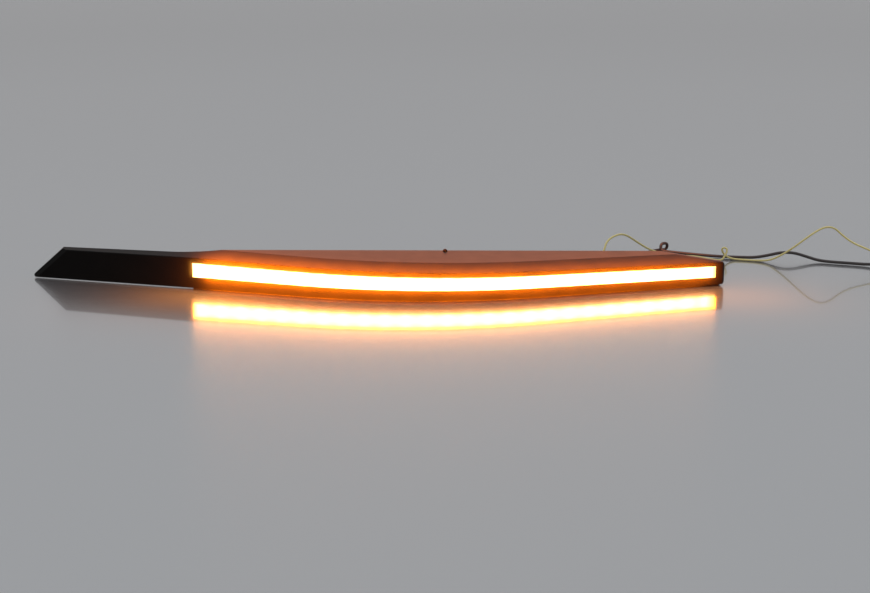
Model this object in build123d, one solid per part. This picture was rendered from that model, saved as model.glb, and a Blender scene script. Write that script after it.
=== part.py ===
from build123d import *
import os
from math import asin, atan, cos, degrees, pi, radians, sin, sqrt, tan

# Daytime running light: a slim bumper strip lamp with one long lit bar, a plain fin and two free leads.
# Millimetres and degrees. X runs along the lamp, the lit face looks to -Y, and Z = 0 is where it rests.

# Plan of the shell
LENGTH = 519.4              # slanted tip on the left to squared end on the right
BODY_DEPTH = 53.8           # foremost point of the face to the shell's back
BOW_RADIUS = 330.0          # bow of the face between its two straight flanks
BOW_X = 51.7                # foremost point of the bow
LEFT_SWEEP = 19.2           # left flank, swept back
RIGHT_SWEEP = 11.6          # right flank, swept back
FIN_TIP_DEPTH = 3.6         # fin, front to back, at its tip
FIN_ROOT_DEPTH = 7.525      # fin, front to back, where it joins the shell's back
FIN_BLEND = 110.0           # hollow curve from the fin's back into the shell's back
END_DEPTH = 9.0             # right end, front to back
END_TAPER = 45.0            # right end to where the back starts to slant forward

# Heights of the shell
LIP_LIFT = 1.4              # lower edge of the face above the base
TIP_LIFT = 0.7              # lower edge of the fin at its tip
FACE_TOP_TIP = 23.5         # top edge of the face at the slanted end
FACE_TOP_PEAK = 24.3        # top edge of the face where the window starts
FACE_TOP_RIGHT = 18.1       # top edge of the face at the right end
BEVEL_RISE = 4.2            # face's top edge up to the flat top
BEVEL_SETBACK = 14.6        # face back to the flat top
FACET_DROP = 1.2            # right end's back corner, below the face's top edge
TIP_RUN = 25.1              # slanted end, measured along X
PLINTH_INSET = 3.0          # base step, in from the outline

# Shell walls and edges
WALL = 2.2
TIP_SOLID = 9.6             # full thickness left at the slanted end, along X
TIP_BAND_WIDTH = 3.2        # chamfer along the slanted end, on the face
TIP_BAND_DEPTH = 1.9        # and on the end
TIP_RADIUS = 1.3            # rounded nose of the tip
END_BEVEL = 1.4             # front, upper and lower edges of the right end
EDGE_RADIUS = 0.8           # long upper edge of the face
RIB_COUNT = 3               # ribs across the fin's hollow back
RIB_WALL = 1.6

# Window and lit bar
RIGHT_BORDER = 7.0          # window to the right end
WINDOW_LOW_LEFT = 9.6
WINDOW_LOW_RIGHT = 6.7
WINDOW_HIGH_LEFT = 20.4
WINDOW_HIGH_RIGHT = 15.4
LENS_PROUD = 0.8            # bar in front of the face
LENS_GAP = 0.15             # bar to the window's edge
LENS_FLANGE = 1.0
LENS_LAP = 1.5              # flange behind the face, past the window
LENS_EDGE = 0.6             # rounded front edge of the bar
SEAT_GAP = 0.15             # inner pieces to the shell's inner walls

# Light unit behind the bar
REFLECTOR_DEPTH = 2.2
REFLECTOR_LAP = 0.5         # reflector's opening past the window
STRIP_THICK = 1.0           # strip board
STRIP_MARGIN = 3.0          # strip board in from the window's left end
LED_PITCH = 15.0
LED_MARGIN = 6.0            # first LED in from the window's end
LED_LENGTH = 3.5
LED_HEIGHT = 2.8
LED_THICK = 0.8
SOLDER_FILM = 0.02          # under each resistor, where the board's back curves away
RESISTOR_LENGTH = 3.2
RESISTOR_HEIGHT = 1.6
RESISTOR_THICK = 0.6
RESISTOR_LED_COUNT = 2      # LEDs to each resistor
LUG_COUNT = 6               # moulded lugs that hold the strip board
LUG_WIDTH = 6.0
LUG_THICK = 1.6
LUG_LAP = 1.2               # lug past the board's lower edge

# Back plate
COVER_THICK = 2.2
COVER_EDGE = 1.0            # plate in from the shell's outline
COVER_LEFT_MARGIN = 21.7    # plate in from the fin's corner of the shell's back
COVER_RIGHT_MARGIN = 3.0    # plate in from the other corner
COVER_CORNER = 3.0
GASKET_THICK = 0.8
GASKET_INSET = 0.4          # gasket in from the plate's edge
RIM = 3.2                   # shell's back around the opening
SCREW_INSET = 4.6           # screw centres in from the plate's edges
SCREW_HOLE = 3.0            # clearance hole in plate and gasket
SCREW_SHANK = 2.6
SCREW_PILOT = 2.7
SCREW_HEAD = 5.2
SCREW_HEAD_HEIGHT = 1.8
SCREW_RECESS = 2.9          # cross recess in the head, across
SCREW_SLOT = 0.8            # and each slot's width
SCREW_SOCKET = 1.0          # and its depth
SCREW_LENGTH = 7.0
SCREW_BOSS = 6.4
BOSS_LENGTH = 4.6
MOUNT_SPACING = 180.0       # two blind holes that fix the lamp, either side of the plate's middle
MOUNT_Z = 13.0
MOUNT_HOLE = 3.4
MOUNT_DEPTH = 9.0
MOUNT_BOSS = 9.0
MOUNT_PAD = 2.4             # raised ring round each fixing hole, proud of the screw heads

# Locating peg on the flat top
PEG_DIAMETER = 3.4
PEG_HEIGHT = 1.5
PEG_INSET = 1.8             # peg centre in from the shell's back
PEG_EDGE = 0.9

# Driver board
DRIVER_LENGTH = 58.0
DRIVER_WIDTH = 16.0
DRIVER_THICK = 1.6
DRIVER_GAP = 9.0            # board's back edge to the shell's back
POST_HEIGHT = 7.0
POST_DIAMETER = 5.0
POST_INSET = 3.0
POST_PILOT = 1.7
POST_SHANK = 1.6
POST_HOLE = 1.9             # clearance hole in the board
POST_HEAD = 3.2
POST_HEAD_HEIGHT = 1.2
POST_SCREW = 4.5
CHIP_LENGTH = 6.0
CHIP_WIDTH = 4.0
CHIP_HEIGHT = 1.6
CHIP_LEGS = 4               # to a side
CHIP_LEG_WIDTH = 0.5
CHIP_LEG_REACH = 1.0
CAPACITOR_DIAMETER = 6.3
CAPACITOR_HEIGHT = 7.0
CAPACITOR_PITCH = 8.0
INDUCTOR_SIDE = 7.0
INDUCTOR_HEIGHT = 4.0
PART_GAP = 3.0              # between neighbours on the board
HEADER_LENGTH = 8.0
HEADER_HEIGHT = 6.0
HEADER_GAP = 0.2            # lead header to the screw heads beside it
LEAD_PITCH = 4.0            # leads where they meet the header
LINK_LENGTH = 9.0
LINK_WIDTH = 3.5
LINK_HEIGHT = 4.0
LINK_PITCH = 2.5
LINK_COUNT = 3
LINK_DIAMETER = 1.1

# Leads and their strain reliefs
POWER_DIAMETER = 2.4
SIGNAL_DIAMETER = 1.5
LEAD_FROM_END = 66.7        # power lead in from the right end
LEAD_SPACING = 24.0         # signal lead in from the power lead
TAIL_RUN = 12.0             # driver board in from the signal lead
BORE_GAP = 0.05             # lead to the strain relief's bore
GROMMET_NECK = 6.4
GROMMET_GAP = 0.05          # neck to the plate's hole
GROMMET_FLANGE = 9.0
GROMMET_RIM = 1.2
BOOT_LENGTH = 8.0
BOOT_ROOT = 6.6
BOOT_WALL = 0.7             # rubber round the lead at the boot's mouth

# Far ends of the leads
PLUG_LENGTH = 17.0
PLUG_WIDTH = 9.0
PLUG_HEIGHT = 7.0
PLUG_WALL = 1.2
PLUG_SOCKET = 9.0           # depth of the plug's open mouth
PLUG_EDGE = 0.8
PLUG_LATCH_LENGTH = 6.0
PLUG_LATCH_WIDTH = 4.0
PLUG_LATCH_HEIGHT = 1.4
PIN_COUNT = 2
PIN_PITCH = 3.4
PIN_SIDE = 1.0
PIN_REACH = 7.0
SLEEVE_LENGTH = 14.0
SLEEVE_DIAMETER = 4.6
SLEEVE_EDGE = 0.6
BULLET_DIAMETER = 3.2
BULLET_REACH = 6.0
BULLET_EDGE = 1.0

# Working reach of cutting solids, past the lamp on every side
REACH = 2 * LENGTH
TALL = 4 * BODY_DEPTH
OVERLAP = 1.0


def set_back(x, depth=0.0):
    """How far the face at x lies behind the bow's foremost point, moved back by depth square to itself."""
    radius = BOW_RADIUS - depth
    for side, sweep in ((-1, LEFT_SWEEP), (1, RIGHT_SWEEP)):
        touch = BOW_X + side * radius * sin(radians(sweep))
        if side * (x - touch) > 0:
            return BOW_RADIUS - radius * cos(radians(sweep)) + side * (x - touch) * tan(radians(sweep))
    return BOW_RADIUS - sqrt(radius**2 - (x - BOW_X)**2)


# Places along X
TIP_X = -LENGTH / 2
END_X = LENGTH / 2
TIP_STEEP = (FACE_TOP_TIP - TIP_LIFT) / TIP_RUN
CORNER_X = TIP_X - TIP_RADIUS * (1 / tan(atan(TIP_STEEP) / 2) - 1)  # slanted end without its rounded nose
FIN_ROOT_X = BOW_X - (BOW_RADIUS - FIN_ROOT_DEPTH) * sin(radians(LEFT_SWEEP))
FIN_ROOT_ROOM = BODY_DEPTH - set_back(FIN_ROOT_X, FIN_ROOT_DEPTH)
FIN_CORNER_X = FIN_ROOT_X - FIN_ROOT_ROOM / tan(radians(LEFT_SWEEP))  # fin's back meets the shell's back
WINDOW_LEFT = FIN_CORNER_X
WINDOW_RIGHT = END_X - RIGHT_BORDER
CAVITY_LEFT = WINDOW_LEFT - LENS_LAP - SEAT_GAP
POWER_X = END_X - LEAD_FROM_END
SIGNAL_X = POWER_X - LEAD_SPACING
DRIVER_RIGHT = SIGNAL_X - TAIL_RUN
DRIVER_X = DRIVER_RIGHT - DRIVER_LENGTH / 2
HEADER_X = DRIVER_RIGHT - HEADER_LENGTH / 2
CAPACITOR_X = HEADER_X - HEADER_LENGTH / 2 - PART_GAP - CAPACITOR_DIAMETER / 2
CHIP_X = CAPACITOR_X - CAPACITOR_PITCH - CAPACITOR_DIAMETER / 2 - PART_GAP - CHIP_LENGTH / 2
CHOKE_X = CHIP_X - CHIP_LENGTH / 2 - PART_GAP - INDUCTOR_SIDE / 2
LINK_X = DRIVER_X - DRIVER_LENGTH / 2 + 2 * POST_INSET + LINK_LENGTH / 2

# Depths behind the face
REFLECTOR_FRONT = WALL + LENS_FLANGE
STRIP_FRONT = REFLECTOR_FRONT + REFLECTOR_DEPTH
STRIP_BACK = STRIP_FRONT + STRIP_THICK

# Places along Y: the box round the lamp, from the lit bar's front to the fin's back, is centred on 0
TIP_BACK = set_back(TIP_X, FIN_TIP_DEPTH)
BOW_Y = (LENS_PROUD - TIP_BACK) / 2
BACK_Y = BOW_Y + BODY_DEPTH
COVER_INNER = BACK_Y + GASKET_THICK
COVER_OUTER = COVER_INNER + COVER_THICK
BOOT_MOUTH = COVER_OUTER + GROMMET_RIM + BOOT_LENGTH
DRIVER_Y = BACK_Y - DRIVER_GAP - DRIVER_WIDTH / 2
LINK_Y = DRIVER_Y - DRIVER_WIDTH / 2 + LINK_WIDTH / 2

# Heights
BEVEL_SLOPE = BEVEL_RISE / BEVEL_SETBACK
ROOF_DROP = WALL * sqrt(1 + BEVEL_SLOPE**2)
FLOOR_TOP = LIP_LIFT + WALL
BOARD_TOP = POST_HEIGHT + DRIVER_THICK
LEAD_Z = BOARD_TOP + HEADER_HEIGHT / 2

# Bends of the free leads: along X and Y from the boot's mouth, and height above the base
POWER_BENDS = [
    (0.0, 0.0, LEAD_Z), (0.0, 10.1, LEAD_Z), (2.0, 21.7, 9.4), (6.5, 34.7, 5.2), (12.5, 47.7, 2.2),
    (19.0, 60.7, 1.3), (26.0, 71.3, 1.3), (33.0, 78.7, 1.3), (39.0, 82.1, 1.3), (45.0, 82.1, 1.5),
    (45.4, 80.9, 7.1), (39.6, 79.1, 7.2), (39.4, 77.5, 1.5), (46.0, 74.7, 1.3), (55.0, 69.7, 1.3),
    (68.6, 62.5, 1.3), (83.0, 56.5, 1.3), (98.0, 53.1, 1.3), (110.0, 50.9, 1.4), (120.0, 48.1, 3.8),
    (129.5, 45.7, 6.6), (139.5, 44.1, 6.6), (149.0, 42.1, 3.8), (158.0, 37.9, 1.4), (169.0, 32.5, 1.3),
    (182.0, 27.9, 1.3), (194.0, 22.5, 1.4), (205.5, 18.7, PLUG_HEIGHT / 2),
    (216.0, 18.7, PLUG_HEIGHT / 2),
]
SIGNAL_BENDS = [
    (0.0, 0.0, LEAD_Z), (0.0, 6.1, LEAD_Z), (4.0, 9.1, 15.2), (6.8, 11.1, 19.4), (8.2, 14.1, 23.6),
    (13.2, 18.7, 27.2), (23.6, 26.3, 28.4), (37.0, 37.1, 18.2), (46.4, 45.3, 11.2), (56.0, 54.1, 6.0),
    (66.5, 60.9, 2.2), (77.0, 63.1, 0.8), (87.0, 60.3, 0.8), (94.4, 54.3, 0.8), (100.0, 47.7, 0.8),
    (105.6, 43.5, 1.2), (107.8, 44.0, 4.2), (109.8, 44.8, 7.6), (109.8, 45.7, 10.6), (106.6, 46.3, 11.1),
    (106.2, 47.1, 7.8), (110.2, 48.1, 3.2), (116.0, 48.7, 0.9), (124.0, 46.3, 0.8), (134.0, 42.7, 0.8),
    (143.0, 38.3, 2.0), (151.0, 33.3, 7.6), (158.5, 29.3, 14.2), (166.0, 26.9, 21.0), (174.0, 26.7, 27.0),
    (182.5, 28.7, 30.8), (190.5, 30.7, 29.6), (197.0, 29.9, 23.6), (204.0, 26.3, 18.4),
    (213.0, 22.1, 14.8), (223.0, 17.3, 11.2), (233.0, 12.1, 6.8), (243.0, 7.7, SLEEVE_DIAMETER / 2),
    (253.0, 7.7, SLEEVE_DIAMETER / 2),
]
POWER_ROUTE = [(POWER_X + x, BOOT_MOUTH + y, z) for x, y, z in POWER_BENDS]
SIGNAL_ROUTE = [(SIGNAL_X + x, BOOT_MOUTH + y, z) for x, y, z in SIGNAL_BENDS]
ARC_SHARE = 0.45            # of the shorter run, taken up by the arc at each corner


def face_y(x, depth=0.0):
    return BOW_Y + set_back(x, depth)


def heading(x, depth):
    """Turn of the face about Z at x, moved back by depth."""
    sine = max(-1, min(1, (x - BOW_X) / (BOW_RADIUS - depth)))
    return max(-LEFT_SWEEP, min(RIGHT_SWEEP, degrees(asin(sine))))


def along(start, end, x):
    """Height at x on the straight line between two (x, z) points."""
    return start[1] + (end[1] - start[1]) * (x - start[0]) / (end[0] - start[0])


def face_top(x):
    return along((WINDOW_LEFT, FACE_TOP_PEAK), (END_X, FACE_TOP_RIGHT), x)


def window_low(x):
    return along((WINDOW_LEFT, WINDOW_LOW_LEFT), (WINDOW_RIGHT, WINDOW_LOW_RIGHT), x)


def window_high(x):
    return along((WINDOW_LEFT, WINDOW_HIGH_LEFT), (WINDOW_RIGHT, WINDOW_HIGH_RIGHT), x)


def window_middle(x):
    return (window_low(x) + window_high(x)) / 2


def bow_ends():
    """Where the bow meets the left and right flanks of the face."""
    return BOW_X - BOW_RADIUS * sin(radians(LEFT_SWEEP)), BOW_X + BOW_RADIUS * sin(radians(RIGHT_SWEEP))


def face_stations(left, right):
    """One place on each stretch of the face: left flank, bow and right flank."""
    touch_left, touch_right = bow_ends()
    return [(left + touch_left) / 2, (touch_left + touch_right) / 2, (touch_right + right) / 2]


def edges_near(solid, points):
    """The edge nearest to each point."""
    return [solid.edges().sort_by_distance(point)[0] for point in points]


def face_curve(depth, x_left, x_right):
    """Left flank, bow and right flank of the face in plan, moved back by depth."""
    radius = BOW_RADIUS - depth
    centre = Vector(BOW_X, BOW_Y + BOW_RADIUS)

    def on_bow(angle):
        return centre + Vector(radius * sin(radians(angle)), -radius * cos(radians(angle)))

    touch_left, touch_right = on_bow(-LEFT_SWEEP), on_bow(RIGHT_SWEEP)
    left = Line((x_left, face_y(x_left, depth)), touch_left)
    bow = ThreePointArc(touch_left, on_bow((RIGHT_SWEEP - LEFT_SWEEP) / 2), touch_right)
    right = Line(touch_right, (x_right, face_y(x_right, depth)))
    return [left, bow, right]


def behind(depth):
    """Plan of everything behind the face, starting at this depth."""
    curve = face_curve(depth, -REACH, REACH)
    start, end = curve[0] @ 0, curve[2] @ 1
    rear = Polyline(end, (end.X, 2 * REACH), (start.X, 2 * REACH), start)
    return make_face(curve + [rear])


def upright(region, low):
    """Prism on a plan region, from a height up past the roof."""
    return extrude(Pos(0, 0, low) * region, TALL)


def band(front, back):
    """Upright slab that follows the face between two depths."""
    return upright(behind(front), -OVERLAP) - upright(behind(back), -OVERLAP)


def seen_from_front(points):
    """Solid with this (x, z) outline, through the whole depth."""
    return extrude(Plane.XZ * make_face(Polyline(*points, close=True)), REACH, both=True)


def window_slab(grow):
    """Solid with the window's outline, grown on all sides."""
    left, right = WINDOW_LEFT - grow, WINDOW_RIGHT + grow
    low = [(left, window_low(left) - grow), (right, window_low(right) - grow)]
    high = [(right, window_high(right) + grow), (left, window_high(left) + grow)]
    return seen_from_front(low + high)


def one_side(first, second, third):
    """Everything behind the plane through three points, named anticlockwise as seen from its front."""
    plane = Plane(origin=first, z_dir=(second - first).cross(third - first))
    return plane * Box(2 * REACH, 2 * REACH, 2 * REACH, align=(Align.CENTER, Align.CENTER, Align.MAX))


def x_range(left, right):
    return Pos((left + right) / 2, 0, 0) * Box(right - left, 4 * REACH, 2 * TALL)


def rod(x, z, diameter, y_front, y_back):
    """Round bar along Y."""
    return extrude(Plane((x, y_front, z), z_dir=(0, 1, 0)) * Circle(diameter / 2), y_back - y_front)


def post(x, y, diameter, low, high):
    """Round bar along Z."""
    return extrude(Pos(x, y, low) * Circle(diameter / 2), high - low)


def block(x, y, low, length, width, height):
    """Square-cornered solid on a level."""
    return Pos(x, y, low + height / 2) * Box(length, width, height)


def footprint():
    """Plan of the shell: bowed face, right end, back and fin, with a hollow curve between the last two."""
    curve = face_curve(0, CORNER_X, END_X)
    corner, end = curve[0] @ 0, curve[2] @ 1
    fin_back = along((FIN_CORNER_X, BACK_Y), (TIP_X, BOW_Y + TIP_BACK), CORNER_X)
    sides = Polyline(end, (END_X, face_y(END_X, END_DEPTH)), (END_X - END_TAPER, BACK_Y),
                     (FIN_CORNER_X, BACK_Y), (CORNER_X, fin_back), corner)
    plan = make_face(curve + [sides])
    hollow = plan.vertices().sort_by_distance((FIN_CORNER_X, BACK_Y, 0))[0]
    return fillet(hollow, FIN_BLEND)


def sloping_roof(tilt):
    """Everything under the bevel and flat top, tilted about the point where the window starts."""
    spare = BEVEL_SETBACK
    low = FACE_TOP_PEAK - spare * BEVEL_SLOPE
    sections = [Pos(0, 0, -TALL) * behind(-spare), Pos(0, 0, low) * behind(-spare),
                Pos(0, 0, FACE_TOP_PEAK + BEVEL_RISE) * behind(BEVEL_SETBACK)]
    hinge = Axis((WINDOW_LEFT, 0, FACE_TOP_PEAK), (0, 1, 0))
    return loft(sections, ruled=True).rotate(hinge, tilt)


def top_tilts():
    """Tilts of the top, which slopes down from the window's start to both ends."""
    main = degrees(atan((FACE_TOP_PEAK - FACE_TOP_RIGHT) / (END_X - WINDOW_LEFT)))
    fin = -degrees(atan((FACE_TOP_PEAK - FACE_TOP_TIP) / (WINDOW_LEFT - CORNER_X - TIP_RUN)))
    return main, fin


def tapered_top():
    """Everything under the bevel and flat top of both slopes."""
    main, fin = top_tilts()
    return sloping_roof(main) & sloping_roof(fin)


def rounded_bar(tilt):
    """Everything behind the face and under one slope of the top, with a rounded edge between them."""
    bar = upright(behind(0), 0) & sloping_roof(tilt)
    stations = face_stations(WINDOW_LEFT, END_X)
    upper = [(x, face_y(x), FACE_TOP_PEAK - (x - WINDOW_LEFT) * tan(radians(tilt))) for x in stations]
    return fillet(edges_near(bar, upper), EDGE_RADIUS)


def under_end_facet():
    """Everything under the flat facet at the right end of the top."""
    start_x = END_X - END_TAPER
    return one_side(Vector(END_X, face_y(END_X), FACE_TOP_RIGHT),
                    Vector(END_X, face_y(END_X, END_DEPTH), FACE_TOP_RIGHT - FACET_DROP),
                    Vector(start_x, BACK_Y, face_top(start_x) + BEVEL_RISE))


def between_end_slopes():
    """Everything inside the small slopes along the upper and lower edges of the right end."""
    front, back = face_y(END_X), face_y(END_X, END_DEPTH)
    high_back = FACE_TOP_RIGHT - FACET_DROP
    upper = one_side(Vector(END_X, front, FACE_TOP_RIGHT - END_BEVEL),
                     Vector(END_X, back, high_back - END_BEVEL), Vector(END_X - END_BEVEL, back, high_back))
    lower = one_side(Vector(END_X, back, LIP_LIFT + END_BEVEL), Vector(END_X, front, LIP_LIFT + END_BEVEL),
                     Vector(END_X - END_BEVEL, front, LIP_LIFT))
    return upper & lower


def slanted_end():
    """Everything to the right of the slanted end and above the lower edge, with a rounded nose between."""
    outline = make_face(Polyline(
        (CORNER_X, TIP_LIFT), (WINDOW_LEFT, LIP_LIFT), (REACH, LIP_LIFT), (REACH, TALL),
        (CORNER_X + (TALL - TIP_LIFT) / TIP_STEEP, TALL), close=True))
    nose = outline.vertices().sort_by(Axis.X)[0]
    return extrude(Plane.XZ * fillet(nose, TIP_RADIUS), REACH, both=True)


def behind_tip_band():
    """Everything behind the flat band along the slanted end."""
    across = TIP_BAND_WIDTH * sqrt(1 + 1 / TIP_STEEP**2)
    low_x, high_x = CORNER_X + across, CORNER_X + across + TIP_RUN
    low = Vector(low_x, face_y(low_x), TIP_LIFT)
    high = Vector(high_x, face_y(high_x), FACE_TOP_TIP)
    return one_side(low, high, Vector(CORNER_X, face_y(CORNER_X, TIP_BAND_DEPTH), TIP_LIFT))


def outer_shell(plan):
    """Moulded outside of the shell, before it is hollowed."""
    main, fin = top_tilts()
    corner = plan.vertices().sort_by_distance((END_X, face_y(END_X), 0))[0]
    trimmed = rounded_bar(main) & rounded_bar(fin) & upright(chamfer(corner, END_BEVEL), 0)
    return trimmed & slanted_end() & behind_tip_band() & under_end_facet() & between_end_slopes()


def plinth(plan):
    """Base step under the main body, which the lamp rests on."""
    step = offset(plan, -PLINTH_INSET, kind=Kind.INTERSECTION)
    return extrude(step, FLOOR_TOP) & x_range(FIN_CORNER_X, REACH)


def shell_room(plan, inner_roof):
    """Room inside the shell for the light unit and the driver board."""
    walls = offset(plan, -WALL, kind=Kind.INTERSECTION)
    sump = offset(plan, -PLINTH_INSET - WALL, kind=Kind.INTERSECTION)
    room = upright(walls, FLOOR_TOP) & x_range(CAVITY_LEFT, REACH)
    sump_room = upright(sump, WALL) & x_range(FIN_CORNER_X + WALL, REACH)
    return (room + sump_room) & inner_roof


def fin_pockets(inner_roof):
    """Hollow back of the fin, crossed by ribs."""
    right = CAVITY_LEFT - WALL
    left = TIP_X + TIP_RUN
    pockets = upright(behind(WALL), FLOOR_TOP) & inner_roof
    pockets &= (Pos(TIP_SOLID, 0, 0) * slanted_end()) & x_range(-REACH, right)
    step = (right - left) / (RIB_COUNT + 1)
    for index in range(RIB_COUNT):
        rib_x = left + step * (index + 1)
        pockets -= x_range(rib_x - RIB_WALL / 2, rib_x + RIB_WALL / 2)
    return pockets


def back_outline(inset):
    """(x, z) outline of the back plate, moved in."""
    left = FIN_CORNER_X + COVER_LEFT_MARGIN + inset
    right = END_X - END_TAPER - COVER_RIGHT_MARGIN - inset
    low = LIP_LIFT + COVER_EDGE + inset
    drop = BEVEL_RISE - COVER_EDGE - inset
    return [(left, low), (right, low), (right, face_top(right) + drop), (left, face_top(left) + drop)]


def back_slab(inset, y_front, y_back):
    """Flat piece with the back plate's outline, moved in, between two planes."""
    outline = make_face(Polyline(*back_outline(inset), close=True))
    return extrude(Plane((0, y_back, 0), x_dir=(1, 0, 0), z_dir=(0, -1, 0)) * outline, y_back - y_front)


def cover_screw_places():
    low_left, low_right, high_right, high_left = back_outline(SCREW_INSET)
    low_mid = ((low_left[0] + low_right[0]) / 2, low_left[1])
    high_mid = (low_mid[0], (high_left[1] + high_right[1]) / 2)
    return [low_left, low_mid, low_right, high_left, high_mid, high_right]


def driver_screw_places():
    reach_x = DRIVER_LENGTH / 2 - POST_INSET
    reach_y = DRIVER_WIDTH / 2 - POST_INSET
    return [(DRIVER_X + sx * reach_x, DRIVER_Y + sy * reach_y) for sx in (-1, 1) for sy in (-1, 1)]


def mount_places():
    low_left, low_right = back_outline(0)[:2]
    middle = (low_left[0] + low_right[0]) / 2
    return [(middle + side * MOUNT_SPACING / 2, MOUNT_Z) for side in (-1, 1)]


def strip_lug(x):
    """Lug on the shell's floor that keeps the strip board against the reflector."""
    low = WALL / 2
    height = window_low(x) - LENS_LAP + LUG_LAP - low
    place = Location((x, face_y(x, STRIP_BACK + SEAT_GAP), low), (0, 0, heading(x, STRIP_BACK)))
    return place * Box(LUG_WIDTH, LUG_THICK, height, align=(Align.CENTER, Align.MIN, Align.MIN))


def locating_peg():
    """Short peg on the flat top, at the back."""
    low = face_top(BOW_X) + BEVEL_RISE - OVERLAP
    peg = post(BOW_X, BACK_Y - PEG_INSET, PEG_DIAMETER, low, low + OVERLAP + PEG_HEIGHT)
    return chamfer(peg.faces().sort_by(Axis.Z)[-1].edges(), PEG_EDGE)


def front_housing(plan, inner_roof):
    shell = outer_shell(plan) + plinth(plan)
    shell -= shell_room(plan, inner_roof)
    shell -= fin_pockets(inner_roof)
    shell -= back_slab(RIM, BACK_Y - WALL - OVERLAP, BACK_Y + OVERLAP)
    shell -= window_slab(0) & band(-LENS_PROUD - OVERLAP, WALL + OVERLAP)
    for x, z in cover_screw_places():
        shell += rod(x, z, SCREW_BOSS, BACK_Y - BOSS_LENGTH, BACK_Y)
    for x, y in driver_screw_places():
        shell += post(x, y, POST_DIAMETER, WALL / 2, POST_HEIGHT)
    lug_left = FIN_CORNER_X + COVER_LEFT_MARGIN
    lug_step = (WINDOW_RIGHT - RIGHT_BORDER - lug_left) / LUG_COUNT
    for index in range(LUG_COUNT):
        shell += strip_lug(lug_left + lug_step * (index + 0.5))
    for x, z in cover_screw_places():
        shell -= rod(x, z, SCREW_PILOT, BACK_Y - BOSS_LENGTH - OVERLAP, BACK_Y + OVERLAP)
    for x, y in driver_screw_places():
        shell -= post(x, y, POST_PILOT, WALL, POST_HEIGHT + OVERLAP)
    return shell + locating_peg()


def seat_room(inner_roof):
    """Where the light unit's pieces may reach inside the shell."""
    return (Pos(0, 0, -SEAT_GAP) * inner_roof) & x_range(CAVITY_LEFT + SEAT_GAP, END_X - WALL - SEAT_GAP)


def diffuser_lens(seat):
    """Opal bar that fills the window, with a flange behind the face."""
    bar = window_slab(-LENS_GAP) & band(-LENS_PROUD, REFLECTOR_FRONT)
    rim = []
    for x in face_stations(WINDOW_LEFT, WINDOW_RIGHT):
        rim += [(x, face_y(x, -LENS_PROUD), z) for z in (window_low(x), window_high(x))]
    for x in (WINDOW_LEFT, WINDOW_RIGHT):
        rim.append((x, face_y(x, -LENS_PROUD), window_middle(x)))
    bar = fillet(edges_near(bar, rim), LENS_EDGE)
    return bar + (window_slab(LENS_LAP) & band(WALL, REFLECTOR_FRONT) & seat)


def reflector_frame(seat):
    """White frame round the room between the strip board and the bar."""
    frame = window_slab(LENS_LAP) & band(REFLECTOR_FRONT, STRIP_FRONT) & seat
    return frame - window_slab(REFLECTOR_LAP)


def led_board(seat):
    strip = window_slab(LENS_LAP) & band(STRIP_FRONT, STRIP_BACK) & seat
    return strip & x_range(WINDOW_LEFT + STRIP_MARGIN, REACH)


def strip_stations(first):
    """Places along the strip board at an even pitch, starting this far from the window's left end."""
    touch_left, touch_right = bow_ends()
    flank = (touch_left - WINDOW_LEFT) / cos(radians(LEFT_SWEEP))
    bow = BOW_RADIUS * radians(LEFT_SWEEP + RIGHT_SWEEP)
    places = []
    run = first
    while True:
        if run < flank:
            x = WINDOW_LEFT + run * cos(radians(LEFT_SWEEP))
        elif run < flank + bow:
            x = BOW_X + BOW_RADIUS * sin((run - flank) / BOW_RADIUS - radians(LEFT_SWEEP))
        else:
            x = touch_right + (run - flank - bow) * cos(radians(RIGHT_SWEEP))
        if x > WINDOW_RIGHT - LED_MARGIN:
            return places
        places.append(x)
        run += LED_PITCH


def on_strip(x, depth, length, height, thick, align):
    """Small package on the strip board."""
    place = Location((x, face_y(x, depth), window_middle(x)), (0, 0, heading(x, depth)))
    return place * Box(length, thick, height, align=(Align.CENTER, align, Align.CENTER))


def led_row(first):
    places = strip_stations(first)
    return [on_strip(x, STRIP_FRONT, LED_LENGTH, LED_HEIGHT, LED_THICK, Align.MAX) for x in places]


def led_resistors():
    places = strip_stations(LED_MARGIN)[::RESISTOR_LED_COUNT]
    depth = STRIP_BACK + SOLDER_FILM
    return [on_strip(x, depth, RESISTOR_LENGTH, RESISTOR_HEIGHT, RESISTOR_THICK, Align.MIN) for x in places]


def rear_cover():
    """Back plate with screw holes, two fixing bosses and two holes for the strain reliefs."""
    plate = back_slab(0, COVER_INNER, COVER_OUTER)
    plate = fillet(plate.edges().filter_by(Axis.Y), COVER_CORNER)
    for x, z in mount_places():
        plate += rod(x, z, MOUNT_BOSS, COVER_OUTER - MOUNT_DEPTH - WALL, COVER_OUTER + MOUNT_PAD)
        plate -= rod(x, z, MOUNT_HOLE, COVER_OUTER - MOUNT_DEPTH, COVER_OUTER + MOUNT_PAD + OVERLAP)
    holes = [(x, z, SCREW_HOLE) for x, z in cover_screw_places()]
    holes += [(x, LEAD_Z, GROMMET_NECK) for x in (POWER_X, SIGNAL_X)]
    for x, z, diameter in holes:
        plate -= rod(x, z, diameter, COVER_INNER - OVERLAP, COVER_OUTER + OVERLAP)
    return plate


def cover_gasket():
    """Flat seal round the shell's back opening, with an eye at each screw."""
    seal = back_slab(GASKET_INSET, BACK_Y, COVER_INNER)
    seal -= back_slab(RIM, BACK_Y - OVERLAP, COVER_INNER + OVERLAP)
    for x, z in cover_screw_places():
        seal += rod(x, z, SCREW_BOSS, BACK_Y, COVER_INNER)
    for x, z in cover_screw_places():
        seal -= rod(x, z, SCREW_HOLE, BACK_Y - OVERLAP, COVER_INNER + OVERLAP)
    return seal


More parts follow.
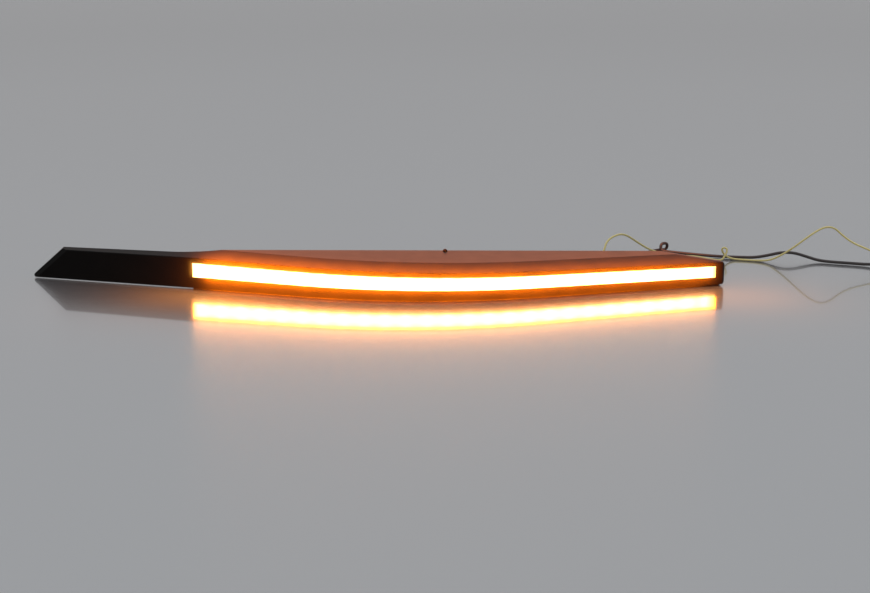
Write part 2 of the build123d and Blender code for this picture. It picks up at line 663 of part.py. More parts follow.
def cover_screws():
    screws = []
    for x, z in cover_screw_places():
        head = rod(x, z, SCREW_HEAD, COVER_OUTER, COVER_OUTER + SCREW_HEAD_HEIGHT)
        head = chamfer(head.faces().sort_by(Axis.Y)[-1].edges(), SCREW_HEAD_HEIGHT / 3)
        top = COVER_OUTER + SCREW_HEAD_HEIGHT
        for wide, tall in ((SCREW_RECESS, SCREW_SLOT), (SCREW_SLOT, SCREW_RECESS)):
            head -= Pos(x, top, z) * Box(wide, 2 * SCREW_SOCKET, tall)
        screws.append(head + rod(x, z, SCREW_SHANK, COVER_OUTER - SCREW_LENGTH, COVER_OUTER))
    return screws


def driver_board():
    board = block(DRIVER_X, DRIVER_Y, POST_HEIGHT, DRIVER_LENGTH, DRIVER_WIDTH, DRIVER_THICK)
    for x, y in driver_screw_places():
        board -= post(x, y, POST_HOLE, POST_HEIGHT - OVERLAP, BOARD_TOP + OVERLAP)
    return board


def driver_screws():
    screws = []
    for x, y in driver_screw_places():
        head = post(x, y, POST_HEAD, BOARD_TOP, BOARD_TOP + POST_HEAD_HEIGHT)
        screws.append(head + post(x, y, POST_SHANK, BOARD_TOP - POST_SCREW, BOARD_TOP))
    return screws


def lead_header():
    width = DRIVER_WIDTH - 2 * POST_INSET - POST_HEAD - 2 * HEADER_GAP
    return block(HEADER_X, DRIVER_Y, BOARD_TOP, HEADER_LENGTH, width, HEADER_HEIGHT)


def driver_chip():
    """Small outline package with its legs."""
    chip = block(CHIP_X, DRIVER_Y, BOARD_TOP, CHIP_LENGTH, CHIP_WIDTH, CHIP_HEIGHT)
    pitch = CHIP_LENGTH / CHIP_LEGS
    for index in range(CHIP_LEGS):
        leg_x = CHIP_X + (index - (CHIP_LEGS - 1) / 2) * pitch
        width = CHIP_WIDTH + 2 * CHIP_LEG_REACH
        chip += block(leg_x, DRIVER_Y, BOARD_TOP, CHIP_LEG_WIDTH, width, CHIP_LEG_WIDTH)
    return chip


def driver_capacitors():
    """Two round capacitors between the chip and the lead header."""
    return [post(CAPACITOR_X - index * CAPACITOR_PITCH, DRIVER_Y, CAPACITOR_DIAMETER, BOARD_TOP,
                 BOARD_TOP + CAPACITOR_HEIGHT) for index in range(2)]


def driver_inductor():
    """Shielded choke to the left of the chip."""
    choke = block(CHOKE_X, DRIVER_Y, BOARD_TOP, INDUCTOR_SIDE, INDUCTOR_SIDE, INDUCTOR_HEIGHT)
    return chamfer(choke.edges().filter_by(Axis.Z), INDUCTOR_SIDE / 5)


def link_header():
    return block(LINK_X, LINK_Y, BOARD_TOP, LINK_LENGTH, LINK_WIDTH, LINK_HEIGHT)


def link_wires():
    """Short wires from the driver board straight to the back of the strip board."""
    front = LINK_Y - LINK_WIDTH / 2
    wires = []
    for index in range(LINK_COUNT):
        x = LINK_X + (index - (LINK_COUNT - 1) / 2) * LINK_PITCH
        wire = rod(x, BOARD_TOP + LINK_HEIGHT / 2, LINK_DIAMETER, face_y(x) - OVERLAP, front)
        wires.append(wire & upright(behind(STRIP_BACK), -OVERLAP))
    return wires


def grommet(x, lead_diameter):
    """Rubber strain relief: two flanges that grip the plate and a tapered boot."""
    bore = lead_diameter / 2 + BORE_GAP
    neck = GROMMET_NECK / 2 - GROMMET_GAP
    flange = GROMMET_FLANGE / 2
    inner, outer = COVER_INNER - GROMMET_RIM, COVER_OUTER + GROMMET_RIM
    profile = Polyline(
        (bore, inner), (flange, inner), (flange, COVER_INNER), (neck, COVER_INNER), (neck, COVER_OUTER),
        (flange, COVER_OUTER), (flange, outer), (BOOT_ROOT / 2, outer), (bore + BOOT_WALL, BOOT_MOUTH),
        (bore, BOOT_MOUTH), close=True)
    spun = revolve(make_face(profile), Axis.Y)
    return Pos(x, 0, LEAD_Z) * spun


def round_lead(points, diameter):
    """Round lead along straight runs joined by tangent arcs as large as the runs allow."""
    route = [Vector(*point) for point in points]
    radii = []
    for before, corner, after in zip(route, route[1:], route[2:]):
        arriving, leaving = corner - before, after - corner
        shorter = min(arriving.length, leaving.length)
        radii.append(ARC_SHARE * shorter / tan(radians(arriving.get_angle(leaving) / 2)))
    path = FilletPolyline(*route, radius=radii)
    section = Plane(origin=path @ 0, z_dir=path % 0) * Circle(diameter / 2)
    lead = sweep(section, path=path)
    print("lead radii in diameters", [round(radius / diameter, 1) for radius in radii])
    print("lead length", round(path.length, 1), "volume share",
          round(lead.volume / (path.length * pi * diameter**2 / 4), 4))
    return lead


def lead_tail(x, diameter, side):
    """Lead inside the shell: out of the header, round a bend and through the strain relief."""
    start = (DRIVER_RIGHT, DRIVER_Y + side * LEAD_PITCH / 2, LEAD_Z)
    return round_lead([start, (x, start[1], LEAD_Z), (x, BOOT_MOUTH, LEAD_Z)], diameter)


def lead_plug():
    """Two-way plug, open at its far end, with a latch on top."""
    x, y, z = POWER_ROUTE[-1]
    ends = (Align.MIN, Align.CENTER, Align.CENTER)
    shell = Pos(x, y, z) * Box(PLUG_LENGTH, PLUG_WIDTH, PLUG_HEIGHT, align=ends)
    shell = fillet(shell.edges().filter_by(Axis.X), PLUG_EDGE)
    wide, high = PLUG_WIDTH - 2 * PLUG_WALL, PLUG_HEIGHT - 2 * PLUG_WALL
    shell -= Pos(x + PLUG_LENGTH - PLUG_SOCKET, y, z) * Box(PLUG_SOCKET + OVERLAP, wide, high, align=ends)
    latch_x = x + PLUG_LENGTH - PLUG_LATCH_LENGTH
    latch_low = z + PLUG_HEIGHT / 2 - PLUG_WALL / 2
    latch = block(latch_x, y, latch_low, PLUG_LATCH_LENGTH, PLUG_LATCH_WIDTH, PLUG_LATCH_HEIGHT)
    return shell + chamfer(latch.edges().filter_by(Axis.Y).sort_by(Axis.Z)[-2:], PLUG_LATCH_HEIGHT / 2)


def plug_pins():
    x, y, z = POWER_ROUTE[-1]
    floor_x = x + PLUG_LENGTH - PLUG_SOCKET
    pins = []
    for index in range(PIN_COUNT):
        pin_y = y + (index - (PIN_COUNT - 1) / 2) * PIN_PITCH
        pin = Pos(floor_x + PIN_REACH / 2, pin_y, z) * Box(PIN_REACH, PIN_SIDE, PIN_SIDE)
        pins.append(chamfer(pin.faces().sort_by(Axis.X)[-1].edges(), PIN_SIDE / 4))
    return pins


def x_rod(start, diameter, length):
    """Round bar along X."""
    return extrude(Plane(start, z_dir=(1, 0, 0)) * Circle(diameter / 2), length)


def signal_sleeve():
    sleeve = x_rod(SIGNAL_ROUTE[-1], SLEEVE_DIAMETER, SLEEVE_LENGTH)
    return chamfer(sleeve.edges().filter_by(GeomType.CIRCLE), SLEEVE_EDGE)


def signal_bullet():
    """Bullet terminal that stands out of its sleeve."""
    x, y, z = SIGNAL_ROUTE[-1]
    bullet = x_rod((x + SLEEVE_LENGTH, y, z), BULLET_DIAMETER, BULLET_REACH)
    return chamfer(bullet.faces().sort_by(Axis.X)[-1].edges(), BULLET_EDGE)


def all_parts():
    plan = footprint()
    inner_roof = Pos(0, 0, -ROOF_DROP) * (tapered_top() & under_end_facet())
    seat = seat_room(inner_roof)
    return {
        "front_housing": front_housing(plan, inner_roof),
        "diffuser_lens": diffuser_lens(seat),
        "reflector_frame": reflector_frame(seat),
        "led_board": led_board(seat),
        "amber_leds": led_row(LED_MARGIN),
        "white_leds": led_row(LED_MARGIN + LED_PITCH / 2),
        "led_resistors": led_resistors(),
        "rear_cover": rear_cover(),
        "cover_gasket": cover_gasket(),
        "cover_screws": cover_screws(),
        "driver_board": driver_board(),
        "driver_screws": driver_screws(),
        "driver_chip": driver_chip(),
        "driver_capacitors": driver_capacitors(),
        "driver_inductor": driver_inductor(),
        "lead_header": lead_header(),
        "link_header": link_header(),
        "link_wires": link_wires(),
        "power_grommet": grommet(POWER_X, POWER_DIAMETER),
        "signal_grommet": grommet(SIGNAL_X, SIGNAL_DIAMETER),
        "power_tail": lead_tail(POWER_X, POWER_DIAMETER, -1),
        "signal_tail": lead_tail(SIGNAL_X, SIGNAL_DIAMETER, 1),
        "power_lead": round_lead(POWER_ROUTE, POWER_DIAMETER),
        "signal_lead": round_lead(SIGNAL_ROUTE, SIGNAL_DIAMETER),
        "lead_plug": lead_plug(),
        "plug_pins": plug_pins(),
        "signal_sleeve": signal_sleeve(),
        "signal_bullet": signal_bullet(),
    }


os.makedirs("parts", exist_ok=True)
for node, solids in all_parts().items():
    shape = Compound(children=solids) if isinstance(solids, list) else solids
    export_step(shape, f"parts/{node}.step")
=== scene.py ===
from collections import namedtuple
from math import asin, cos, degrees, radians, sin, tan, tau

import bpy
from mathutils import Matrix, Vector


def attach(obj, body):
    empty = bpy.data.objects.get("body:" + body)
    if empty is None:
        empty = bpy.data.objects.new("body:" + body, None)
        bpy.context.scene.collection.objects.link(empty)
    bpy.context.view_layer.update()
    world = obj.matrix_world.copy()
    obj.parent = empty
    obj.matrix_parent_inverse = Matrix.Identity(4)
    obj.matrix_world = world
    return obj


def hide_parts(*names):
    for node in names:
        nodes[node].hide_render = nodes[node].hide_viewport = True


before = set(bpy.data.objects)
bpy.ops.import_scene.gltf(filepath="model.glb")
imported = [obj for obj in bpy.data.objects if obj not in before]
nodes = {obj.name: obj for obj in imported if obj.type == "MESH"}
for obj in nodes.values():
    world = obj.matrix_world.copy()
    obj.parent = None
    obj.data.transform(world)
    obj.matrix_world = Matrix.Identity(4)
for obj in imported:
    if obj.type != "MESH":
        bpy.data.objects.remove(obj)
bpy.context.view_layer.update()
MM = 0.001

# Lamp sizes, in mm and degrees, as in the solids
BOW_X = 51.7                # foremost point of the bowed face
BOW_Y = -46.008
BOW_RADIUS = 330.0
LEFT_SWEEP = 19.2           # left flank of the face, swept back
RIGHT_SWEEP = 11.6
WINDOW_LEFT = -135.73
WINDOW_RIGHT = 252.7
WINDOW_LOW_LEFT = 9.6       # lower edge of the window at its left end
WINDOW_LOW_RIGHT = 6.7
WINDOW_HIGH_LEFT = 20.4     # upper edge of the window at its left end
WINDOW_HIGH_RIGHT = 15.4
FACE_TOP_PEAK = 24.3        # top edge of the face where the window starts
FACE_TOP_RIGHT = 18.1
LED_PITCH = 15.0
LED_MARGIN = 6.0            # from the window's left end to the first LED

# The leads' routes, in mm, from the mouths of their boots
BOOT_MOUTH = 19.992
LEAD_Z = 11.6
POWER_X = 193.0
SIGNAL_X = 169.0
POWER_DIAMETER = 2.4
SIGNAL_DIAMETER = 1.5
POWER_BENDS = [
    (0.0, 0.0, LEAD_Z), (0.0, 10.1, LEAD_Z), (2.0, 21.7, 9.4), (6.5, 34.7, 5.2), (12.5, 47.7, 2.2),
    (19.0, 60.7, 1.3), (26.0, 71.3, 1.3), (33.0, 78.7, 1.3), (39.0, 82.1, 1.3), (45.0, 82.1, 1.5),
    (45.4, 80.9, 7.1), (39.6, 79.1, 7.2), (39.4, 77.5, 1.5), (46.0, 74.7, 1.3), (55.0, 69.7, 1.3),
    (68.6, 62.5, 1.3), (83.0, 56.5, 1.3), (98.0, 53.1, 1.3), (110.0, 50.9, 1.4), (120.0, 48.1, 3.8),
    (129.5, 45.7, 6.6), (139.5, 44.1, 6.6), (149.0, 42.1, 3.8), (158.0, 37.9, 1.4), (169.0, 32.5, 1.3),
    (182.0, 27.9, 1.3), (194.0, 22.5, 1.4), (205.5, 18.7, 3.5), (216.0, 18.7, 3.5),
]
SIGNAL_BENDS = [
    (0.0, 0.0, LEAD_Z), (0.0, 6.1, LEAD_Z), (4.0, 9.1, 15.2), (6.8, 11.1, 19.4), (8.2, 14.1, 23.6),
    (13.2, 18.7, 27.2), (23.6, 26.3, 28.4), (37.0, 37.1, 18.2), (46.4, 45.3, 11.2), (56.0, 54.1, 6.0),
    (66.5, 60.9, 2.2), (77.0, 63.1, 0.8), (87.0, 60.3, 0.8), (94.4, 54.3, 0.8), (100.0, 47.7, 0.8),
    (105.6, 43.5, 1.2), (107.8, 44.0, 4.2), (109.8, 44.8, 7.6), (109.8, 45.7, 10.6), (106.6, 46.3, 11.1),
    (106.2, 47.1, 7.8), (110.2, 48.1, 3.2), (116.0, 48.7, 0.9), (124.0, 46.3, 0.8), (134.0, 42.7, 0.8),
    (143.0, 38.3, 2.0), (151.0, 33.3, 7.6), (158.5, 29.3, 14.2), (166.0, 26.9, 21.0), (174.0, 26.7, 27.0),
    (182.5, 28.7, 30.8), (190.5, 30.7, 29.6), (197.0, 29.9, 23.6), (204.0, 26.3, 18.4),
    (213.0, 22.1, 14.8), (223.0, 17.3, 11.2), (233.0, 12.1, 6.8), (243.0, 7.7, 2.3), (253.0, 7.7, 2.3),
]
LEAD_ROUNDNESS = 6          # facets in a quarter of the lead's section
LEAD_STEPS = 12             # straight runs between two bends
LEAD_ORDER = 3

# Camera at the photograph's angle, in mm
CAMERA_PLACE = (-22.5, -1186.85, 310.6)
CAMERA_TARGET = (42.2, -29.55, 0.0)
CAMERA_LENS = 68.08
SENSOR_WIDTH = 36.0
CLIP_END = 50.0             # metres

# Studio, linear light. The world blends from the horizon's colour to the zenith's between two heights.
HORIZON = (0.36, 0.36, 0.365)
ZENITH = (0.93, 0.95, 0.98)
HORIZON_AT = 0.1
ZENITH_AT = 0.55
FLOOR_DARK = (0.095, 0.100, 0.107)
FLOOR_LIGHT = (0.105, 0.110, 0.117)
FLOOR_GRAIN = 1.2           # per metre
FLOOR_ROUGHNESS = 0.25
FLOOR_IOR = 2.8
FLOOR_COAT_ROUGHNESS = 0.05
FLOOR_REACH = 8.0           # metres from the middle to each side
FLOOR_LEVEL = -0.0002       # metres

# Lit bar: how the distance from each end counts, and the width of the dimmer rim in mm
LEFT_END_SHARE = 0.6
RIGHT_END_SHARE = 0.16
RIM_BETWEEN_LEDS = 3.6
RIM_OVER_LED = 1.2
LENS_GLOW = [(0.0, (0.50, 0.18, 0.010)), (0.22, (0.76, 0.46, 0.15)), (1.0, (1.0, 0.70, 0.34))]
LENS_STRENGTH = 6.5
LENS_OPAL = [(0.0, (0.74, 0.68, 0.56)), (1.0, (0.80, 0.74, 0.62))]
LENS_GRAIN = 60             # per metre
LENS_ROUGHNESS = 0.30

# Amber light of the bar, linear: close to it, further off, and on the floor
NEAR_SPILL = (1.0, 0.42, 0.05)
FAR_SPILL = (1.0, 0.185, 0.002)
FLOOR_GLOW = (1.0, 0.27, 0.008)
RIM_RAISE = 1.0             # mm from the window's middle up to the rim row
BEVEL_RAISE = 8.5           # mm from the face's top edge up to the bevel row

# Soft amber panels that each light one thing: place and size in mm, energy in watts
Panel = namedtuple("Panel", "name lit place aim size energy colour glossy")
PANELS = [
    Panel("left_pool", "floor", (-126, -16, 48), (0, 0, -1), (80, 45), 0.20, FLOOR_GLOW, False),
    Panel("right_pool", "floor", (260, -42, 44), (0, 0, -1), (80, 45), 0.115, FLOOR_GLOW, False),
    Panel("warm_back", "shell", (60, 800, 205), (0, -1, -0.2), (1300, 300), 2.4, FAR_SPILL, True),
    Panel("warm_lead", "lead", (215, 60, 60), (0, 0.5, -1), (50, 30), 0.08, FAR_SPILL, True),
]

# Depth of a finish's grain, in metres
COARSE = 0.00003
SATIN = 0.00002
FINE = 0.00001
SMOOTH = 0.000004

# Every finish: its colour drifts more slowly than its grain, over the middle of the noise
DRIFT_SHARE = 1 / 40
DRIFT_LOW = 0.1
DRIFT_HIGH = 0.9
GRAIN_DETAIL = 3.0
GRAIN_STRENGTH = 0.5

# Finish of each slot: darkest and lightest colour, roughness, grain per metre, depth of the grain, pieces
Finish = namedtuple(
    "Finish", "slot dark light rough grain relief pieces metallic specular", defaults=[0.0, 0.5])
FINISHES = [
    Finish("black_shell", (0.0035, 0.0031, 0.0028), (0.0052, 0.0046, 0.0042), (0.26, 0.34), 3200, SMOOTH,
           ["front_housing"], specular=0.06),
    Finish("black_lead", (0.018, 0.014, 0.013), (0.034, 0.025, 0.023), (0.36, 0.50), 3200, SATIN,
           ["power_tail"]),
    Finish("yellow_lead", (0.55, 0.46, 0.17), (0.64, 0.54, 0.22), (0.36, 0.50), 3200, SATIN,
           ["signal_tail"]),
    Finish("black_cover", (0.013, 0.013, 0.013), (0.021, 0.021, 0.020), (0.48, 0.62), 2600, COARSE,
           ["rear_cover"]),
    Finish("seal_rubber", (0.022, 0.022, 0.022), (0.036, 0.035, 0.034), (0.66, 0.82), 1800, SATIN,
           ["cover_gasket", "power_grommet", "signal_grommet"]),
    Finish("screw_steel", (0.46, 0.46, 0.45), (0.62, 0.62, 0.60), (0.26, 0.42), 4200, SMOOTH,
           ["cover_screws", "driver_screws"], metallic=1.0),
    Finish("white_reflector", (0.78, 0.78, 0.76), (0.86, 0.86, 0.84), (0.42, 0.55), 2200, FINE,
           ["reflector_frame"]),
    Finish("strip_board", (0.76, 0.76, 0.74), (0.84, 0.84, 0.82), (0.34, 0.46), 1400, FINE,
           ["led_board"]),
    Finish("amber_led", (0.80, 0.42, 0.05), (0.92, 0.56, 0.09), (0.16, 0.24), 2600, SMOOTH,
           ["amber_leds"]),
    Finish("white_led", (0.84, 0.76, 0.40), (0.92, 0.86, 0.56), (0.16, 0.24), 2600, SMOOTH,
           ["white_leds"]),
    Finish("black_resin", (0.022, 0.022, 0.024), (0.036, 0.036, 0.038), (0.50, 0.64), 3600, FINE,
           ["led_resistors", "driver_chip"]),
    Finish("driver_laminate", (0.022, 0.15, 0.055), (0.040, 0.24, 0.095), (0.30, 0.42), 1600, FINE,
           ["driver_board"]),
    Finish("can_aluminium", (0.62, 0.63, 0.64), (0.76, 0.77, 0.78), (0.24, 0.36), 3000, SMOOTH,
           ["driver_capacitors"], metallic=1.0),
    Finish("ferrite", (0.070, 0.070, 0.075), (0.115, 0.115, 0.120), (0.52, 0.68), 2400, SATIN,
           ["driver_inductor"]),
    Finish("header_nylon", (0.74, 0.72, 0.64), (0.82, 0.80, 0.73), (0.38, 0.50), 1800, FINE,
           ["lead_header", "link_header"]),
    Finish("link_insulation", (0.52, 0.060, 0.045), (0.66, 0.090, 0.070), (0.34, 0.46), 2000, FINE,
           ["link_wires"]),
    Finish("plug_nylon", (0.018, 0.018, 0.018), (0.030, 0.030, 0.030), (0.38, 0.52), 2400, SATIN,
           ["lead_plug"]),
    Finish("terminal_brass", (0.66, 0.50, 0.22), (0.80, 0.64, 0.32), (0.20, 0.34), 3600, SMOOTH,
           ["plug_pins", "signal_bullet"], metallic=1.0),
    Finish("sleeve_vinyl", (0.64, 0.62, 0.55), (0.74, 0.72, 0.65), (0.22, 0.34), 1400, FINE,
           ["signal_sleeve"]),
]


def metres(point):
    return Vector(point) * MM


def link(obj):
    bpy.context.scene.collection.objects.link(obj)
    return obj


def face_y(x, depth=0.0):
    """The lamp's bowed face, moved back by depth, in mm."""
    radius = BOW_RADIUS - depth
    left = BOW_X - radius * sin(radians(LEFT_SWEEP))
    right = BOW_X + radius * sin(radians(RIGHT_SWEEP))
    inside = max(left, min(right, x))
    back = BOW_RADIUS - radius * cos(asin((inside - BOW_X) / radius))
    if x < left:
        back += (left - x) * tan(radians(LEFT_SWEEP))
    if x > right:
        back += (x - right) * tan(radians(RIGHT_SWEEP))
    return BOW_Y + back


def heading(x):
    """Turn of the face about Z at x, in degrees."""
    sine = max(-1, min(1, (x - BOW_X) / BOW_RADIUS))
    return max(-LEFT_SWEEP, min(RIGHT_SWEEP, degrees(asin(sine))))


def between(x, left, right):
    """Value at x on the line from left, at the window's left end, to right, at its right end."""
    return left + (right - left) * (x - WINDOW_LEFT) / (WINDOW_RIGHT - WINDOW_LEFT)


def window_height(x):
    return between(x, WINDOW_HIGH_LEFT - WINDOW_LOW_LEFT, WINDOW_HIGH_RIGHT - WINDOW_LOW_RIGHT)


def window_middle(x):
    return between(x, WINDOW_LOW_LEFT, WINDOW_LOW_RIGHT) + window_height(x) / 2


def window_image(x):
    """Level of the window's mirror image below the floor."""
    return -window_middle(x)


def rim_level(x):
    return window_middle(x) + RIM_RAISE


def bevel_level(x):
    return between(x, FACE_TOP_PEAK, FACE_TOP_RIGHT) + BEVEL_RAISE


# Rows of amber strips along the face. Insets from the window's ends and distance ahead of the face are in mm.
# The power, in watts per square metre, is that at the left end and fades to a share of itself at the right.
# A strip is turned to the face, tilted down by drop degrees, and as high as the window unless stated.
Row = namedtuple("Row", "kind count insets ahead level colour power fade drop height", defaults=[0, None])
ROWS = [
    Row("rim", 14, (-2.0, -1.0), 1.5, rim_level, NEAR_SPILL, power=380, fade=0.15),
    Row("face", 10, (9.0, 2.0), 4.0, window_middle, FAR_SPILL, power=3500, fade=0.34),
    Row("bevel", 10, (8.0, 4.0), 5.0, bevel_level, FAR_SPILL, power=3800, fade=0.42, drop=45, height=4.0),
    Row("mirror", 8, (11.0, 12.0), 4.0, window_image, FAR_SPILL, power=11000, fade=0.25),
    Row("pool", 14, (0.0, 0.0), 5.0, window_middle, FLOOR_GLOW, power=42, fade=0.80, drop=180),
]


class Paint:
    """A material whose node tree is built up by small calls."""

    def __init__(self, name):
        self.material = bpy.data.materials.new(name)
        self.material.use_nodes = True
        self.tree = self.material.node_tree
        self.shader = self.tree.nodes["Principled BSDF"]
        self.place = self.node("ShaderNodeTexCoord").outputs["Object"]

    def node(self, kind, **settings):
        made = self.tree.nodes.new(kind)
        for name, value in settings.items():
            setattr(made, name, value)
        return made

    def feed(self, socket, source):
        if isinstance(source, bpy.types.NodeSocket):
            self.tree.links.new(source, socket)
        else:
            socket.default_value = source

    def set(self, name, source):
        self.feed(self.shader.inputs[name], source)

    def math(self, operation, *sources):
        made = self.node("ShaderNodeMath", operation=operation)
        for socket, source in zip(made.inputs, sources):
            self.feed(socket, source)
        return made.outputs[0]

    def span(self, source, from_low, from_high, to_low=0.0, to_high=1.0):
        made = self.node("ShaderNodeMapRange", clamp=True)
        for socket, value in zip(made.inputs, (source, from_low, from_high, to_low, to_high)):
            self.feed(socket, value)
        return made.outputs[0]

    def noise(self, scale, detail=2.0):
        made = self.node("ShaderNodeTexNoise")
        made.inputs["Scale"].default_value = scale
        made.inputs["Detail"].default_value = detail
        self.feed(made.inputs["Vector"], self.place)
        return made.outputs["Fac"]

    def ramp(self, share, stops):
        made = self.node("ShaderNodeValToRGB")
        self.feed(made.inputs["Fac"], share)
        elements = made.color_ramp.elements
        while len(elements) < len(stops):
            elements.new(1.0)
        for element, (position, colour) in zip(elements, stops):
            element.position = position
            element.color = (*colour, 1.0)
        return made.outputs["Color"]

    def bump(self, height, strength, distance):
        made = self.node("ShaderNodeBump")
        made.inputs["Strength"].default_value = strength
        made.inputs["Distance"].default_value = distance
        self.feed(made.inputs["Height"], height)
        self.set("Normal", made.outputs[0])


def moulded(finish):
    """Material with a fine grain in its height and slow drifts in its colour and gloss."""
    paint = Paint(finish.slot)
    drift = paint.span(paint.noise(finish.grain * DRIFT_SHARE), DRIFT_LOW, DRIFT_HIGH)
    paint.set("Base Color", paint.ramp(drift, [(0.0, finish.dark), (1.0, finish.light)]))
    paint.set("Roughness", paint.span(drift, 0.0, 1.0, *finish.rough))
    paint.set("Metallic", finish.metallic)
    paint.set("Specular IOR Level", finish.specular)
    paint.bump(paint.noise(finish.grain, GRAIN_DETAIL), GRAIN_STRENGTH, finish.relief)
    return paint.material


def lens_paint():
    """Opal bar, lit from behind by the amber row: hottest over each LED, dimmer along its rim."""
    paint = Paint("opal_lens")
    split = paint.node("ShaderNodeSeparateXYZ")
    paint.feed(split.inputs[0], paint.place)
    x = split.outputs["X"]
    z = split.outputs["Z"]
    left = WINDOW_LEFT * MM
    right = WINDOW_RIGHT * MM
    low = paint.span(x, left, right, WINDOW_LOW_LEFT * MM, WINDOW_LOW_RIGHT * MM)
    high = paint.span(x, left, right, WINDOW_HIGH_LEFT * MM, WINDOW_HIGH_RIGHT * MM)
    from_edge = paint.math("MINIMUM", paint.math("SUBTRACT", z, low), paint.math("SUBTRACT", high, z))
    from_left = paint.math("MULTIPLY", paint.math("SUBTRACT", x, left), LEFT_END_SHARE)
    from_right = paint.math("MULTIPLY", paint.math("SUBTRACT", right, x), RIGHT_END_SHARE)
    rim = paint.math("MINIMUM", from_edge, paint.math("MINIMUM", from_left, from_right))
    from_first_led = paint.math("SUBTRACT", x, left + LED_MARGIN * MM)
    turn = paint.math("MULTIPLY", from_first_led, tau / (LED_PITCH * MM))
    reach = paint.span(paint.math("COSINE", turn), -1.0, 1.0, RIM_BETWEEN_LEDS * MM, RIM_OVER_LED * MM)
    glow = paint.math("MINIMUM", paint.math("DIVIDE", rim, reach), 1.0)
    paint.set("Emission Color", paint.ramp(glow, LENS_GLOW))
    paint.set("Emission Strength", LENS_STRENGTH)
    paint.set("Base Color", paint.ramp(paint.noise(LENS_GRAIN), LENS_OPAL))
    paint.set("Roughness", LENS_ROUGHNESS)
    return paint.material


def dress(paint, *names):
    """Give the named CAD pieces one material."""
    for name in names:
        mesh = nodes[name].data
        mesh.materials.clear()
        mesh.materials.append(paint)


def lead(name, bends, start_x, diameter, paint, node):
    """Free lead as a round curve along its bends, in place of its solid."""
    curve = bpy.data.curves.new(name, "CURVE")
    curve.dimensions = "3D"
    curve.bevel_depth = diameter / 2 * MM
    curve.bevel_resolution = LEAD_ROUNDNESS
    curve.resolution_u = LEAD_STEPS
    curve.use_fill_caps = True
    spline = curve.splines.new("NURBS")
    spline.points.add(len(bends) - 1)
    for point, (x, y, z) in zip(spline.points, bends):
        point.co = (*metres((start_x + x, BOOT_MOUTH + y, z)), 1.0)
    spline.order_u = LEAD_ORDER
    spline.use_endpoint_u = True
    piece = link(bpy.data.objects.new(name, curve))
    curve.materials.append(paint)
    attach(piece, "root")
    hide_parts(node)
    return piece


def make_camera():
    data = bpy.data.cameras.new("camera")
    data.lens = CAMERA_LENS
    data.sensor_width = SENSOR_WIDTH
    data.clip_end = CLIP_END
    camera = link(bpy.data.objects.new("camera", data))
    camera.location = metres(CAMERA_PLACE)
    view = metres(CAMERA_TARGET) - camera.location
    camera.rotation_euler = view.to_track_quat("-Z", "Y").to_euler()
    bpy.context.scene.camera = camera


def make_floor():
    """Plain sheet with a clear glossy face over a satin one."""
    paint = Paint("floor")
    paint.set("Base Color", paint.ramp(paint.noise(FLOOR_GRAIN), [(0.0, FLOOR_DARK), (1.0, FLOOR_LIGHT)]))
    paint.set("Roughness", FLOOR_ROUGHNESS)
    paint.set("IOR", FLOOR_IOR)
    paint.set("Coat Weight", 1.0)
    paint.set("Coat Roughness", FLOOR_COAT_ROUGHNESS)
    mesh = bpy.data.meshes.new("floor")
    signs = [(-1, -1), (1, -1), (1, 1), (-1, 1)]
    corners = [(x * FLOOR_REACH, y * FLOOR_REACH, FLOOR_LEVEL) for x, y in signs]
    mesh.from_pydata(corners, [], [(0, 1, 2, 3)])
    mesh.materials.append(paint.material)
    floor = link(bpy.data.objects.new("floor", mesh))
    return floor


def make_studio():
    """Even soft light from all round, strongest from above."""
    world = bpy.data.worlds.new("studio")
    world.use_nodes = True
    tree = world.node_tree
    split = tree.nodes.new("ShaderNodeSeparateXYZ")
    tree.links.new(tree.nodes.new("ShaderNodeTexCoord").outputs["Generated"], split.inputs[0])
    ramp = tree.nodes.new("ShaderNodeValToRGB")
    tree.links.new(split.outputs["Z"], ramp.inputs["Fac"])
    low, high = ramp.color_ramp.elements
    low.position = HORIZON_AT
    low.color = (*HORIZON, 1)
    high.position = ZENITH_AT
    high.color = (*ZENITH, 1)
    tree.links.new(ramp.outputs["Color"], tree.nodes["Background"].inputs["Color"])
    bpy.context.scene.world = world
    bpy.context.scene.view_settings.view_transform = "Standard"


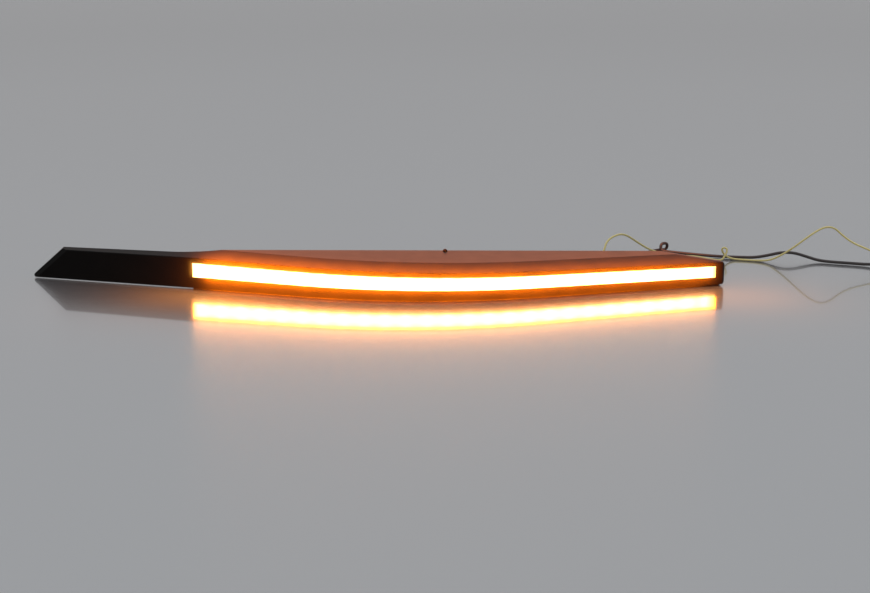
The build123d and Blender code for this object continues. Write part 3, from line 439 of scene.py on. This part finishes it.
def amber_light(name, place, aim, size, energy, colour, only):
    """Rectangular lamp, placed and sized in mm, that is not seen itself and lights one thing."""
    data = bpy.data.lights.new(name, "AREA")
    data.shape = "RECTANGLE"
    data.size = size[0] * MM
    data.size_y = size[1] * MM
    data.color = colour
    data.energy = energy
    light = link(bpy.data.objects.new(name, data))
    light.location = metres(place)
    light.rotation_euler = Vector(aim).to_track_quat("-Z", "Y").to_euler()
    light.visible_camera = False
    light.light_linking.receiver_collection = only
    return light


def strip_light(row, number, only):
    """One strip of a row in front of the face, counted from the left."""
    first = WINDOW_LEFT + row.insets[0]
    last = WINDOW_RIGHT - row.insets[1]
    step = (last - first) / row.count
    left = first + step * number
    middle = left + step / 2
    turn = radians(heading(middle))
    drop = radians(row.drop)
    y = (face_y(left, -row.ahead) + face_y(left + step, -row.ahead)) / 2
    aim = (-sin(turn) * cos(drop), cos(turn) * cos(drop), -sin(drop))
    run = step / cos(turn)
    height = row.height or window_height(middle)
    energy = between(middle, row.power, row.power * row.fade) * run * height * MM * MM
    place = (middle, y, row.level(middle))
    return amber_light(f"{row.kind}_glow_{number}", place, aim, (run, height), energy, row.colour, only)


def make_spill(**lit_pieces):
    """Amber light from the lit bar on the shell round it, on the floor in front and on the power lead."""
    only = {}
    for name, piece in lit_pieces.items():
        only[name] = bpy.data.collections.new(f"{name}_only")
        only[name].objects.link(piece)
    for row in ROWS:
        on_floor = row.kind == "pool"
        for number in range(row.count):
            light = strip_light(row, number, only["floor" if on_floor else "shell"])
            light.visible_glossy = on_floor
            if not on_floor:
                light.light_linking.blocker_collection = only["shell"]
    for panel in PANELS:
        light = amber_light(panel.name, panel.place, panel.aim, panel.size, panel.energy, panel.colour,
                            only[panel.lit])
        light.visible_glossy = panel.glossy


make_camera()
paints = {finish.slot: moulded(finish) for finish in FINISHES}
for finish in FINISHES:
    dress(paints[finish.slot], *finish.pieces)
dress(lens_paint(), "diffuser_lens")

power_cord = lead("power_cord", POWER_BENDS, POWER_X, POWER_DIAMETER,
                  paints["black_lead"], "power_lead")
lead("signal_cord", SIGNAL_BENDS, SIGNAL_X, SIGNAL_DIAMETER,
     paints["yellow_lead"], "signal_lead")

make_studio()
make_spill(shell=nodes["front_housing"], floor=make_floor(), lead=power_cord)
